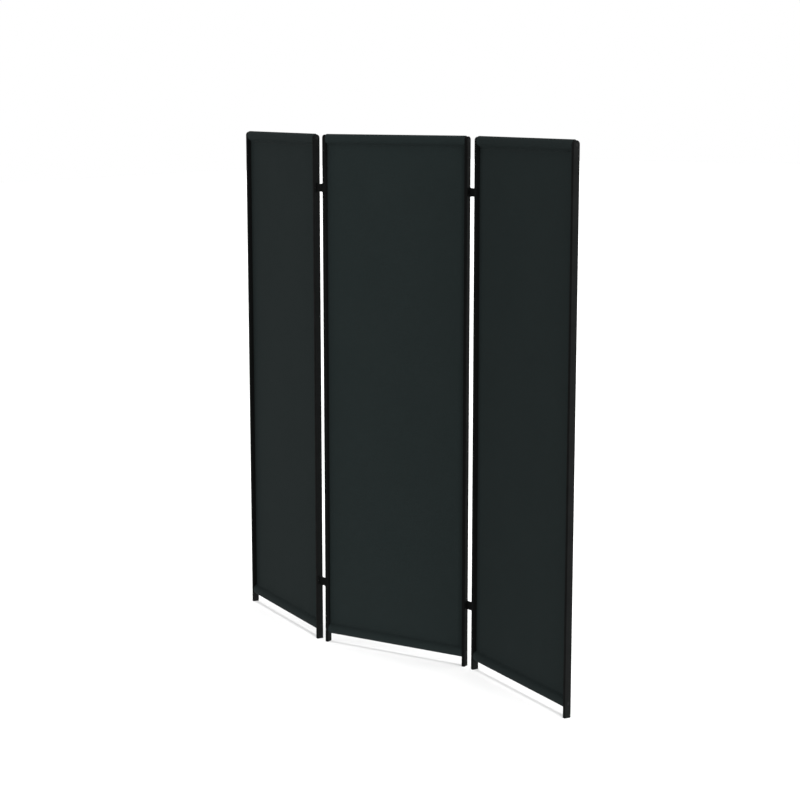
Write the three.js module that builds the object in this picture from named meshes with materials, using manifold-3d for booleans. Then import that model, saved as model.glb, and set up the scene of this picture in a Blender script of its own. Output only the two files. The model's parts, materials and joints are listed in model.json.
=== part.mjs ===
// Folding room divider screen: three cloth panels joined by double-action link hinges.
// Each panel is two rectangular steel posts, two oval steel rails and a cloth sleeve pulled over the rails.
// Millimetres, +Z up. The origin is on the floor under the middle panel's middle, and the front faces -Y.
import * as THREE from "three";
import { mergeVertices } from "three/addons/utils/BufferGeometryUtils.js";
import Module from "manifold-3d";

const wasm = await Module();
wasm.setup();

// Panels
const CLOTH_TOP = 1850;
const CLOTH_BOTTOM = 32;
const PANEL_WIDTH = 585; // over the outer side faces of its two posts
const FIT_GAP = 0.3; // left between pieces that touch

// Posts: rectangular tube, top cut half round and closed by a bent strip, with a moulded glide at the foot
const POST_WIDTH = 12; // along the panel
const POST_DEPTH = 24; // front to back
const POST_WALL = 1.5;
const POST_CORNER = 2;
const POST_TOP = 1847; // top of the round end
const CAP_THICKNESS = 1.5;
const GLIDE_HEAD = 3; // the visible part of a glide
const GLIDE_EDGE = 0.8; // rounding of that part's edges
const GLIDE_STEM = 16;

// Rails: oval tube with a threaded plug pressed into each end
const RAIL_DEPTH = 20;
const RAIL_HEIGHT = 30;
const RAIL_WALL = 1.5;
const RAIL_PLUG = 12;

// Cloth: a pocket round each rail, sewn closed where its two sides meet
const POCKET_DEPTH = 24;
const POCKET_HEIGHT = 34;
const POCKET_SLACK = 0.6; // between rail and cloth
const SEAM_DROP = 20; // from the middle of a rail to the pocket's seam
const CLOTH_THICKNESS = 1.2;
const CLOTH_SETBACK = 3; // the cloth hangs this far behind the middle of the posts
const CLOTH_SIDE_GAP = 0.5; // between the cloth's side edge and the post

// Rail bolts: M6 socket screws, their heads inside the post
const BOLT_RADIUS = 3;
const BOLT_LENGTH = 16;
const BOLT_HEAD_RADIUS = 4.8;
const BOLT_HEAD_HEIGHT = 3.5;
const BOLT_SOCKET_RADIUS = 2.3; // across the corners of a 4 mm hexagon
const BOLT_SOCKET_DEPTH = 2;
const TOOL_HOLE_RADIUS = 5.3; // in the post's outer wall

// Hinges: a leaf on each post, a link between them, and a pin at each end of the link
const PIVOT_OFFSET = 6; // from a post's side face to its pivot
const PIVOT_SPACING = 26; // between a link's two pivots
const HINGE_HEIGHT = 28;
const LEAF_DEPTH = 22;
const LEAF_THICKNESS = 1.6;
const BARREL_RADIUS = 3.7;
const BARREL_HEIGHT = 13.4; // the link's part of a pivot, between the leaf's two knuckles
const KNUCKLE_HEIGHT = 7;
const BLOCK_SETBACK = 4.3; // from a pivot to the link's full-height block
const PIN_RADIUS = 2;
const PIN_BORE_RADIUS = 2.3;
const PIN_HEAD_RADIUS = 3.2;
const PIN_HEAD_HEIGHT = 0.9;
const PIVOT_FOLD = THREE.MathUtils.degToRad(15); // at each pivot, as the screen stands

// How finely round shapes are faceted
const ROUND_FACETS = 12; // a pin, hole or barrel
const CORNER_SEGMENTS = 1; // half the facets of one rounded corner
const CAP_FACETS = 24; // a full turn of a cap's curve
const OVAL_SEGMENTS = 9; // half the facets of a rail
const POCKET_STEPS = 14;

const HINGE_HEIGHTS = { upper: 1661, lower: 223 };
const POST_ROUND_MIDDLE = POST_TOP - POST_DEPTH / 2; // height where a post's round end begins
const SIDES = { left: -1, right: 1 };
const RAIL_LEVELS = {
  top: CLOTH_TOP - POCKET_HEIGHT / 2,
  bottom: CLOTH_BOTTOM + POCKET_HEIGHT / 2,
};

const FINISHES = {
  coatedSteel: { color: 0x151716, roughness: 0.55, metalness: 0.1 },
  zincSteel: { color: 0x9a9c9b, roughness: 0.4, metalness: 0.9 },
  mouldedPlastic: { color: 0x121313, roughness: 0.6, metalness: 0 },
  cloth: { color: 0x252c2c, roughness: 0.95, metalness: 0 },
};

// A closed geometry as a solid that can be cut and joined.
function solidOf(geometry) {
  geometry.deleteAttribute("normal");
  geometry.deleteAttribute("uv");
  const merged = mergeVertices(geometry, 1e-4);
  return new wasm.Manifold(
    new wasm.Mesh({
      numProp: 3,
      vertProperties: merged.getAttribute("position").array,
      triVerts: new Uint32Array(merged.getIndex().array),
    }),
  );
}

function pieceOf(solid, name, finish) {
  const { vertProperties, triVerts } = solid.getMesh();
  const geometry = new THREE.BufferGeometry();
  geometry.setAttribute("position", new THREE.BufferAttribute(vertProperties, 3));
  geometry.setIndex(new THREE.BufferAttribute(triVerts, 1));
  const flat = geometry.toNonIndexed();
  flat.computeVertexNormals();
  const mesh = new THREE.Mesh(flat, new THREE.MeshStandardMaterial(FINISHES[finish]));
  mesh.name = name;
  return mesh;
}

function roundedRectangle(width, depth, radius) {
  const x = width / 2 - radius;
  const y = depth / 2 - radius;
  const shape = new THREE.Shape();
  shape.absarc(x, y, radius, 0, Math.PI / 2);
  shape.absarc(-x, y, radius, Math.PI / 2, Math.PI);
  shape.absarc(-x, -y, radius, Math.PI, 1.5 * Math.PI);
  shape.absarc(x, -y, radius, 1.5 * Math.PI, 2 * Math.PI);
  shape.closePath();
  return shape;
}

function ellipse(width, height) {
  return new THREE.Shape().absellipse(0, 0, width / 2, height / 2, 0, 2 * Math.PI, false, 0);
}

// An upright prism that stands on z = bottom.
function upright(shape, bottom, height) {
  const geometry = new THREE.ExtrudeGeometry(shape, {
    depth: height,
    bevelEnabled: false,
    curveSegments: CORNER_SEGMENTS,
  });
  return solidOf(geometry.translate(0, 0, bottom));
}

// A level prism, centred on x = 0, whose outline is drawn in Y and Z.
function level(shape, length, curveSegments = OVAL_SEGMENTS) {
  const geometry = new THREE.ExtrudeGeometry(shape, { depth: length, bevelEnabled: false, curveSegments });
  const turn = new THREE.Matrix4().makeBasis(
    new THREE.Vector3(0, 1, 0),
    new THREE.Vector3(0, 0, 1),
    new THREE.Vector3(1, 0, 0),
  );
  return solidOf(geometry.translate(0, 0, -length / 2).applyMatrix4(turn));
}

function uprightCylinder(radius, height, x, z) {
  const geometry = new THREE.CylinderGeometry(radius, radius, height, ROUND_FACETS).rotateX(Math.PI / 2);
  return solidOf(geometry.translate(x, 0, z));
}

function levelCylinder(radius, length, x, z, facets = ROUND_FACETS) {
  const geometry = new THREE.CylinderGeometry(radius, radius, length, facets).rotateZ(Math.PI / 2);
  return solidOf(geometry.translate(x, 0, z));
}

function block(width, depth, height, x = 0, z = 0) {
  return solidOf(new THREE.BoxGeometry(width, depth, height).translate(x, 0, z));
}

// A post's tube, centred on its own axis. inward is 1 or -1, the way along X that its rails lie.
// Above the middle of the round end only its two side walls go on, as half discs inside the cap.
function postSolid(inward) {
  const bottom = GLIDE_HEAD + FIT_GAP;
  const outside = roundedRectangle(POST_WIDTH, POST_DEPTH, POST_CORNER);
  const inside = roundedRectangle(
    POST_WIDTH - 2 * POST_WALL,
    POST_DEPTH - 2 * POST_WALL,
    POST_CORNER - POST_WALL,
  );
  outside.holes.push(inside);
  const discRadius = POST_DEPTH / 2 - CAP_THICKNESS - FIT_GAP;
  const kept = block(2 * POST_WIDTH, 2 * POST_DEPTH, POST_ROUND_MIDDLE, 0, POST_ROUND_MIDDLE / 2).add(
    levelCylinder(discRadius, 2 * POST_WIDTH, 0, POST_ROUND_MIDDLE, CAP_FACETS),
  );
  let tube = upright(outside, bottom, POST_TOP - bottom).intersect(kept);
  const wallMiddle = (POST_WIDTH - POST_WALL) / 2;
  for (const z of Object.values(RAIL_LEVELS)) {
    tube = tube
      .subtract(levelCylinder(BOLT_RADIUS + FIT_GAP, 2 * POST_WALL, inward * wallMiddle, z))
      .subtract(levelCylinder(TOOL_HOLE_RADIUS, 2 * POST_WALL, -inward * wallMiddle, z));
  }
  return tube;
}

// The strip bent over a post's round end. Its curve is centred on z = 0.
function capSolid() {
  const outline = roundedRectangle(POST_WIDTH, POST_DEPTH, POST_CORNER);
  return levelCylinder(POST_DEPTH / 2, POST_WIDTH, 0, 0, CAP_FACETS)
    .subtract(levelCylinder(POST_DEPTH / 2 - CAP_THICKNESS, POST_WIDTH + 2, 0, 0, CAP_FACETS))
    .intersect(upright(outline, FIT_GAP, POST_DEPTH));
}

// A glide: a head with the post's outline, standing on z = 0, and a stem that fills the tube.
function glideSolid() {
  const headShape = roundedRectangle(POST_WIDTH, POST_DEPTH, POST_CORNER);
  const head = new THREE.ExtrudeGeometry(headShape, {
    depth: GLIDE_HEAD - 2 * GLIDE_EDGE,
    bevelThickness: GLIDE_EDGE,
    bevelSize: GLIDE_EDGE,
    bevelOffset: -GLIDE_EDGE,
    bevelSegments: 1,
    curveSegments: CORNER_SEGMENTS,
  });
  const stemInset = 2 * (POST_WALL + FIT_GAP);
  const overlap = GLIDE_HEAD / 2;
  const stem = block(
    POST_WIDTH - stemInset,
    POST_DEPTH - stemInset,
    GLIDE_STEM + overlap,
    0,
    GLIDE_HEAD + (GLIDE_STEM - overlap) / 2,
  );
  return solidOf(head.translate(0, 0, GLIDE_EDGE)).add(stem);
}

// An oval tube, open only through the threaded hole in the plug at each end.
function railSolid() {
  const length = PANEL_WIDTH - 2 * (POST_WIDTH + FIT_GAP);
  const cavity = level(
    ellipse(RAIL_DEPTH - 2 * RAIL_WALL, RAIL_HEIGHT - 2 * RAIL_WALL),
    length - 2 * RAIL_PLUG,
  );
  return level(ellipse(RAIL_DEPTH, RAIL_HEIGHT), length)
    .subtract(cavity)
    .subtract(levelCylinder(BOLT_RADIUS + FIT_GAP, length + 2, 0, 0));
}

// The angle on an ellipse, from its middle line, where a line from (seamY, -SEAM_DROP) touches it.
function tangentAngle(seamY, side) {
  const y = (2 * seamY) / POCKET_DEPTH;
  const z = (-2 * SEAM_DROP) / POCKET_HEIGHT;
  return Math.atan2(z, y) + side * Math.acos(1 / Math.hypot(y, z));
}

// The cloth's side outline: round the top pocket from back to front, then round the bottom pocket.
function clothOutline() {
  const back = CLOTH_SETBACK + CLOTH_THICKNESS / 2;
  const front = CLOTH_SETBACK - CLOTH_THICKNESS / 2;
  const pocketStart = tangentAngle(back, 1);
  const pocketEnd = tangentAngle(front, -1) + 2 * Math.PI;
  const pocket = [new THREE.Vector2(back, -SEAM_DROP)];
  for (let i = 0; i <= POCKET_STEPS; i++) {
    const angle = THREE.MathUtils.lerp(pocketStart, pocketEnd, i / POCKET_STEPS);
    pocket.push(
      new THREE.Vector2((POCKET_DEPTH / 2) * Math.cos(angle), (POCKET_HEIGHT / 2) * Math.sin(angle)),
    );
  }
  pocket.push(new THREE.Vector2(front, -SEAM_DROP));
  const upper = pocket.map((p) => new THREE.Vector2(p.x, RAIL_LEVELS.top + p.y));
  const lower = pocket.map((p) => new THREE.Vector2(p.x, RAIL_LEVELS.bottom - p.y));
  return new THREE.Shape([...upper, ...lower.reverse()]);
}

function clothSolid() {
  const width = PANEL_WIDTH - 2 * (POST_WIDTH + CLOTH_SIDE_GAP);
  const tunnel = level(ellipse(RAIL_DEPTH + 2 * POCKET_SLACK, RAIL_HEIGHT + 2 * POCKET_SLACK), width + 2);
  return Object.values(RAIL_LEVELS).reduce(
    (cloth, z) => cloth.subtract(tunnel.translate([0, 0, z])),
    level(clothOutline(), width),
  );
}

// A socket screw that lies along X with its shank pointing to -X and the underside of its head at x = 0.
function boltSolid() {
  const outline = [
    [0, -BOLT_LENGTH],
    [BOLT_RADIUS - 0.5, -BOLT_LENGTH],
    [BOLT_RADIUS, 0.5 - BOLT_LENGTH],
    [BOLT_RADIUS, 0],
    [BOLT_HEAD_RADIUS, 0],
    [BOLT_HEAD_RADIUS, BOLT_HEAD_HEIGHT],
    [0, BOLT_HEAD_HEIGHT],
  ].map(([r, y]) => new THREE.Vector2(r, y));
  const screw = new THREE.LatheGeometry(outline, ROUND_FACETS).rotateZ(-Math.PI / 2);
  const socketMiddle = BOLT_HEAD_HEIGHT - BOLT_SOCKET_DEPTH / 2;
  const socket = levelCylinder(BOLT_SOCKET_RADIUS, BOLT_SOCKET_DEPTH, socketMiddle + 0.01, 0, 6);
  return solidOf(screw).subtract(socket);
}

// A leaf on the post face at x = 0, its knuckles round the pivot at x = PIVOT_OFFSET.
function leafSolid() {
  const plateMiddle = FIT_GAP + LEAF_THICKNESS / 2;
  const plate = level(roundedRectangle(LEAF_DEPTH, HINGE_HEIGHT, 2), LEAF_THICKNESS, CORNER_SEGMENTS);
  const webWidth = PIVOT_OFFSET - plateMiddle;
  const knuckleMiddle = (HINGE_HEIGHT - KNUCKLE_HEIGHT) / 2;
  const knuckles = [knuckleMiddle, -knuckleMiddle].map((z) =>
    block(webWidth, 2 * BARREL_RADIUS, KNUCKLE_HEIGHT, PIVOT_OFFSET - webWidth / 2, z).add(
      uprightCylinder(BARREL_RADIUS, KNUCKLE_HEIGHT, PIVOT_OFFSET, z),
    ),
  );
  return knuckles
    .reduce((leaf, knuckle) => leaf.add(knuckle), plate.translate([plateMiddle, 0, 0]))
    .subtract(uprightCylinder(PIN_BORE_RADIUS, HINGE_HEIGHT + 2, PIVOT_OFFSET, 0));
}

// A link centred between its two pivots.
function linkSolid() {
  const pivots = [-PIVOT_SPACING / 2, PIVOT_SPACING / 2];
  const blockShape = roundedRectangle(PIVOT_SPACING - 2 * BLOCK_SETBACK, 2 * BARREL_RADIUS, 1);
  let link = upright(blockShape, -HINGE_HEIGHT / 2, HINGE_HEIGHT).add(
    block(PIVOT_SPACING, 2 * BARREL_RADIUS, BARREL_HEIGHT),
  );
  for (const x of pivots) {
    link = link.add(uprightCylinder(BARREL_RADIUS, BARREL_HEIGHT, x, 0));
  }
  for (const x of pivots) {
    link = link.subtract(uprightCylinder(PIN_BORE_RADIUS, HINGE_HEIGHT, x, 0));
  }
  return link;
}

function pinSolid() {
  const shank = HINGE_HEIGHT / 2 + FIT_GAP;
  const end = shank + PIN_HEAD_HEIGHT;
  const half = [
    [PIN_RADIUS, shank],
    [PIN_HEAD_RADIUS, shank],
    [PIN_HEAD_RADIUS, end],
    [0, end],
  ];
  const outline = [...half.map(([r, y]) => [r, -y]).reverse(), ...half];
  const points = outline.map(([r, y]) => new THREE.Vector2(r, y));
  return solidOf(new THREE.LatheGeometry(points, ROUND_FACETS).rotateX(Math.PI / 2));
}

// One panel, centred on x = 0.
function makePanel(panelName) {
  const panel = new THREE.Group();
  for (const [sideName, side] of Object.entries(SIDES)) {
    const x = side * (PANEL_WIDTH - POST_WIDTH) / 2;
    const post = pieceOf(postSolid(-side), `${panelName}_${sideName}_post`, "coatedSteel");
    const cap = pieceOf(capSolid(), `${panelName}_${sideName}_post_cap`, "coatedSteel");
    const glide = pieceOf(glideSolid(), `${panelName}_${sideName}_foot_glide`, "mouldedPlastic");
    post.position.x = x;
    glide.position.x = x;
    cap.position.set(x, 0, POST_ROUND_MIDDLE);
    panel.add(post, cap, glide);
    for (const [levelName, z] of Object.entries(RAIL_LEVELS)) {
      const bolt = pieceOf(boltSolid(), `${panelName}_${levelName}_${sideName}_rail_bolt`, "zincSteel");
      bolt.position.set(side * (PANEL_WIDTH / 2 - POST_WIDTH + POST_WALL + FIT_GAP), 0, z);
      bolt.rotation.z = side < 0 ? Math.PI : 0;
      panel.add(bolt);
    }
  }
  for (const [levelName, z] of Object.entries(RAIL_LEVELS)) {
    const rail = pieceOf(railSolid(), `${panelName}_${levelName}_rail`, "coatedSteel");
    rail.position.z = z;
    panel.add(rail);
  }
  panel.add(pieceOf(clothSolid(), `${panelName}_cloth`, "cloth"));
  return panel;
}

// The leaf and pin that a panel carries on one of its sides, at each hinge. The panel is centred on x = 0.
function addLeaves(panel, side, hingeSide, end) {
  for (const [levelName, z] of Object.entries(HINGE_HEIGHTS)) {
    const hingeName = `${hingeSide}_${levelName}_hinge`;
    const leaf = pieceOf(leafSolid(), `${hingeName}_${end}_leaf`, "coatedSteel");
    const pin = pieceOf(pinSolid(), `${hingeName}_${end}_pin`, "coatedSteel");
    leaf.position.set((side * PANEL_WIDTH) / 2, 0, z);
    leaf.rotation.z = side < 0 ? Math.PI : 0;
    pin.position.set(side * (PANEL_WIDTH / 2 + PIVOT_OFFSET), 0, z);
    panel.add(leaf, pin);
  }
}

// The links of one gap, and the outer panel that they carry, turned by the fold at each pivot.
function makeWing(sideName, side) {
  const links = new THREE.Group();
  links.position.x = side * (PANEL_WIDTH / 2 + PIVOT_OFFSET);
  links.rotation.z = -PIVOT_FOLD;
  for (const [levelName, z] of Object.entries(HINGE_HEIGHTS)) {
    const link = pieceOf(linkSolid(), `${sideName}_${levelName}_hinge_link`, "coatedSteel");
    link.position.set((side * PIVOT_SPACING) / 2, 0, z);
    links.add(link);
  }
  const outerPivot = new THREE.Group();
  outerPivot.position.x = side * PIVOT_SPACING;
  outerPivot.rotation.z = -PIVOT_FOLD;
  const panel = makePanel(sideName);
  panel.position.x = side * (PIVOT_OFFSET + PANEL_WIDTH / 2);
  addLeaves(panel, -side, sideName, "outer");
  outerPivot.add(panel);
  links.add(outerPivot);
  return links;
}

const screen = new THREE.Group();
const middlePanel = makePanel("middle");
screen.add(middlePanel);
for (const [sideName, side] of Object.entries(SIDES)) {
  addLeaves(middlePanel, side, sideName, "inner");
  screen.add(makeWing(sideName, side));
}

export default screen;
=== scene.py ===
import json
import math

import bmesh
import bpy
import numpy as np
from mathutils import Matrix, Vector


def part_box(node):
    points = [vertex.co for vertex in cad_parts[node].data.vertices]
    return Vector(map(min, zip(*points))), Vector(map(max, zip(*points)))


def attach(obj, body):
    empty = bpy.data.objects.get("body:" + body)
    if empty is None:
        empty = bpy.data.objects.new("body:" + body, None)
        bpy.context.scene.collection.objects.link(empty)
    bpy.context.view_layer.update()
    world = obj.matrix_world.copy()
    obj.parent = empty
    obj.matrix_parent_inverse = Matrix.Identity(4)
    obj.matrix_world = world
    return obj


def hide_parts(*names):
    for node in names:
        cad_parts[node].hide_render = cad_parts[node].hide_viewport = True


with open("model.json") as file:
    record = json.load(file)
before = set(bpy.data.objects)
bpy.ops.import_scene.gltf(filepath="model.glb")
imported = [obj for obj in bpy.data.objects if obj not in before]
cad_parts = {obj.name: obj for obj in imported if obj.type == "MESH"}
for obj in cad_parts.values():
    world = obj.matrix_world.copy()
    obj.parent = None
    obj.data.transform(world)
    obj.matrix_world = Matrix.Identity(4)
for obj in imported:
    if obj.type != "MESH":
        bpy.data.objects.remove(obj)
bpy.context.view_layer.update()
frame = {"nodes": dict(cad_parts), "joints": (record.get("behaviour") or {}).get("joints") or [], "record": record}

# Folding room divider: cloth sleeves on steel frames, standing in a zig-zag.
# Metres, z up, the front faces -y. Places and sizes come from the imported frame.
scene = bpy.context.scene
panelNames = ["left", "middle", "right"]
sides = {"left": -1, "right": 1}
bodyOf = {name: name + "_panel" for name in panelNames}


# frame: where the panels and hinges are
footPlace = {m["name"]: Vector(m["pos_m"]) for m in frame["record"]["mounts"]}
pivotPlace = {j["name"]: Vector(j["pos_m"]) for j in frame["joints"]}


# a matrix whose x axis is the given level direction, at the given place
def levelFrame(along, place):
    x = along.normalized()
    y = Vector((-x.y, x.x, 0))
    turn = Matrix((x, y, (0, 0, 1))).transposed().to_4x4()
    return Matrix.Translation(place) @ turn


# x from the left foot to the right one, origin half way between them
def panelFrame(name):
    left = footPlace[name + "_left_foot"]
    right = footPlace[name + "_right_foot"]
    return levelFrame(right - left, (left + right) / 2)


panelFrames = {name: panelFrame(name) for name in panelNames}
postLow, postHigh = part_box("middle_right_post")
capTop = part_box("middle_right_post_cap")[1].z
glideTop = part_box("middle_right_foot_glide")[1].z
clothLow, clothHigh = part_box("middle_cloth")
railLow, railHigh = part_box("middle_top_rail")
lowRailLow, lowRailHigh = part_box("middle_bottom_rail")
panelHalf = postHigh.x
print("frame: panels", 2 * panelHalf, "m wide,", clothHigh.z, "m high")


# colours and nodes
# sRGB to linear: c / 12.92 below 0.04045, else ((c + 0.055) / 1.055) ^ 2.4
def linearColour(hexText):
    channels = [int(hexText[i : i + 2], 16) / 255 for i in (1, 3, 5)]
    return [c / 12.92 if c <= 0.04045 else ((c + 0.055) / 1.055) ** 2.4 for c in channels] + [1.0]


# adds a node and gives one of its outputs; settings are the node's properties, and inputs, by name or in
# order, are socket values or the outputs that feed them
def addNode(tree, kind, settings=None, inputs=(), output=0):
    node = tree.nodes.new("ShaderNode" + kind)
    for key, value in (settings or {}).items():
        setattr(node, key, value)
    for key, value in inputs.items() if isinstance(inputs, dict) else enumerate(inputs):
        if isinstance(value, bpy.types.NodeSocket):
            tree.links.new(value, node.inputs[key])
        else:
            node.inputs[key].default_value = value
    return node.outputs[output] if node.outputs else None


# an empty material and its node tree
def newMaterial(name):
    material = bpy.data.materials.new(name)
    material.use_nodes = True
    material.node_tree.nodes.clear()
    return material, material.node_tree


multiply, add, largest = ({"operation": name} for name in ("MULTIPLY", "ADD", "MAXIMUM"))
blend = {"data_type": "RGBA"}  # inputs 0, 6 and 7 are the share and the two colours; output 2 is the colour
softBand = (0.3, 0.7)  # nearly all values of a noise lie in it

powderCoat = {
    "colour": "#0d0e0e",
    "worn": "#181a19",
    "grain": 0.0011,  # the coat's orange peel is about 0.4 mm, drawn coarser so that it shows
    "grainDepth": 0.00003,
    "roughness": (0.62, 0.74),
    "cloud": 0.11,  # slow change of tone along a tube
    "cloudShare": 0.16,  # of the worn colour, at most
    "patch": 0.03,  # slow change of gloss
    "rub": 0.012,
    "rubBand": (0.52, 0.72),  # only a noise's upper part rubs, so that sound coat stays between the rubs
    "scuffHeight": 0.09,  # shoes and vacuum cleaners reach this high
}


# powder-coated steel: sprayed and baked polyester, satin, finely pebbled, rubbed grey near the floor
# share of the worn colour = max(nearness to the floor * rubs, cloud), each noise stretched from its band
def makePowderCoatedSteel():
    material, tree = newMaterial("powder-coated steel")
    place = addNode(tree, "TexCoord", output="Object")
    height = addNode(tree, "SeparateXYZ", {}, [place], "Z")
    nearFloor = addNode(tree, "MapRange", {}, [height, powderCoat["scuffHeight"], 0.0])
    rubInputs = {"Vector": place, "Scale": 1 / powderCoat["rub"], "Detail": 4.0, "Roughness": 0.65}
    rubs = addNode(tree, "MapRange", {}, [addNode(tree, "TexNoise", {}, rubInputs), *powderCoat["rubBand"]])
    worn = addNode(tree, "Math", multiply, [nearFloor, rubs])
    clouds = addNode(tree, "TexNoise", {}, {"Vector": place, "Scale": 1 / powderCoat["cloud"]})
    cloud = addNode(tree, "MapRange", {}, [clouds, *softBand, 0.0, powderCoat["cloudShare"]])
    share = addNode(tree, "Math", largest, [worn, cloud])
    fresh, grey = linearColour(powderCoat["colour"]), linearColour(powderCoat["worn"])
    colour = addNode(tree, "Mix", blend, {0: share, 6: fresh, 7: grey}, 2)
    patchInputs = {"Vector": place, "Scale": 1 / powderCoat["patch"], "Detail": 3.0}
    patches = addNode(tree, "TexNoise", {}, patchInputs)
    satin = addNode(tree, "MapRange", {}, [patches, *softBand, *powderCoat["roughness"]])
    pebbles = addNode(tree, "TexNoise", {}, {"Vector": place, "Scale": 1 / powderCoat["grain"]})
    bumpInputs = {"Height": pebbles, "Strength": 0.35, "Distance": powderCoat["grainDepth"]}
    bump = addNode(tree, "Bump", {}, bumpInputs)
    finish = {"Base Color": colour, "Roughness": satin, "Normal": bump}
    finish |= {"IOR": 1.5, "Specular IOR Level": 0.05}
    addNode(tree, "OutputMaterial", {}, [addNode(tree, "BsdfPrincipled", {}, finish)])
    return material


weave = {
    "colour": "#212929",
    "slub": "#2a3232",
    # painted shade: the colour mixed into the gaps between threads
    "weaveShade": "#101414",
    "thread": 0.0009,  # threads are about 0.45 mm apart, drawn coarser so that they show
    "threadDepth": 0.00012,
    "weaveShadeBand": (-0.25, -0.9),  # weave heights from the edge of a gap between threads to its middle, over which the painted shade deepens
    "weaveShadeShare": 0.45,  # of the painted shade colour, at most
    "slubLength": 0.045,
    "slubWidth": 0.0018,
    "slubBand": (0.8, 1.25),  # of the two thread directions' noises, summed
    "slubShare": 0.4,
    "slubHeight": 0.6,  # against the weave's own height
    "cloud": 0.16,  # slow change of tone over the sheet
    "cloudShare": 0.12,
    "roughness": (0.82, 0.95),
}


# woven polyester: plain weave of spun yarn, matt, with soft slubs along both thread directions
# weave height = sin(pi u / thread) * sin(pi v / thread), which changes sign where the threads cross over
def makeWovenPolyester():
    material, tree = newMaterial("woven polyester")
    flat = addNode(tree, "UVMap", {"uv_map": "clothMetres"})
    waves = []
    slubs = []
    squeeze = weave["slubWidth"] / weave["slubLength"]
    for axis, stretch in (("X", (1, squeeze, 1)), ("Y", (squeeze, 1, 1))):
        metres = addNode(tree, "SeparateXYZ", {}, [flat], axis)
        turns = addNode(tree, "Math", multiply, [metres, math.pi / weave["thread"]])
        waves.append(addNode(tree, "Math", {"operation": "SINE"}, [turns]))
        drawn = addNode(tree, "Mapping", {}, {"Vector": flat, "Scale": stretch})
        slubs.append(addNode(tree, "TexNoise", {}, {"Vector": drawn, "Scale": 1 / weave["slubWidth"]}))
    crossing = addNode(tree, "Math", multiply, waves)
    slub = addNode(tree, "MapRange", {}, [addNode(tree, "Math", add, slubs), *weave["slubBand"]])
    clouds = addNode(tree, "TexNoise", {}, {"Vector": flat, "Scale": 1 / weave["cloud"]})
    cloud = addNode(tree, "MapRange", {}, [clouds, *softBand, 0.0, weave["cloudShare"]])
    slubTone = addNode(tree, "Math", multiply, [slub, weave["slubShare"]])
    share = addNode(tree, "Math", add, [slubTone, cloud])
    plain, pale, dark = (linearColour(weave[key]) for key in ("colour", "slub", "weaveShade"))
    fibres = addNode(tree, "Mix", blend, {0: share, 6: plain, 7: pale}, 2)
    # painted shade: the gap colour darkens the weave where its height is lowest, between the threads
    depth = addNode(tree, "MapRange", {}, [crossing, *weave["weaveShadeBand"], 0.0, weave["weaveShadeShare"]])
    colour = addNode(tree, "Mix", blend, {0: depth, 6: fibres, 7: dark}, 2)
    matt = addNode(tree, "MapRange", {}, [slub, 0.0, 1.0, *weave["roughness"]])
    slubRise = addNode(tree, "Math", multiply, [slub, weave["slubHeight"]])
    height = addNode(tree, "Math", add, [crossing, slubRise])
    bump = addNode(tree, "Bump", {}, {"Height": height, "Strength": 0.5, "Distance": weave["threadDepth"]})
    finish = {"Base Color": colour, "Roughness": matt, "Normal": bump}
    finish |= {"IOR": 1.46, "Specular IOR Level": 0.10}
    finish |= {"Sheen Weight": 0.03, "Sheen Roughness": 0.45, "Sheen Tint": linearColour("#aab4b4")}
    addNode(tree, "OutputMaterial", {}, [addNode(tree, "BsdfPrincipled", {}, finish)])
    return material


plastic = {
    "colour": "#0a0b0b",
    "dusty": "#191b1b",
    "dust": 0.006,
    "dustBand": (0.45, 0.75),
    "dustShare": 0.6,  # of the dusty colour, at most
    "grain": 0.0006,
    "grainDepth": 0.00002,
    "roughness": (0.5, 0.66),
}


# moulded polypropylene: spark-eroded tool texture, slightly waxy, dust held in the grain
# colour and roughness = their two values mixed by the share of dust, which is a noise's upper band
def makeMouldedPolypropylene():
    material, tree = newMaterial("moulded polypropylene")
    place = addNode(tree, "TexCoord", output="Object")
    dustInputs = {"Vector": place, "Scale": 1 / plastic["dust"], "Detail": 4.0, "Roughness": 0.6}
    specks = addNode(tree, "TexNoise", {}, dustInputs)
    dust = addNode(tree, "MapRange", {}, [specks, *plastic["dustBand"], 0.0, plastic["dustShare"]])
    clean, dusty = linearColour(plastic["colour"]), linearColour(plastic["dusty"])
    colour = addNode(tree, "Mix", blend, {0: dust, 6: clean, 7: dusty}, 2)
    waxy = addNode(tree, "MapRange", {}, [dust, 0.0, plastic["dustShare"], *plastic["roughness"]])
    grain = addNode(tree, "TexNoise", {}, {"Vector": place, "Scale": 1 / plastic["grain"]})
    bump = addNode(tree, "Bump", {}, {"Height": grain, "Strength": 0.3, "Distance": plastic["grainDepth"]})
    finish = {"Base Color": colour, "Roughness": waxy, "Normal": bump}
    finish |= {"IOR": 1.49, "Specular IOR Level": 0.08}
    addNode(tree, "OutputMaterial", {}, [addNode(tree, "BsdfPrincipled", {}, finish)])
    return material


yarn = {
    "dark": "#141919",
    "light": "#252c2c",
    "ply": 0.0007,  # length of one turn of the two plies
    "plyBand": (0.35, 0.65),
    "plyDepth": 0.00004,
    "roughness": (0.6, 0.8),
}


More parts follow.
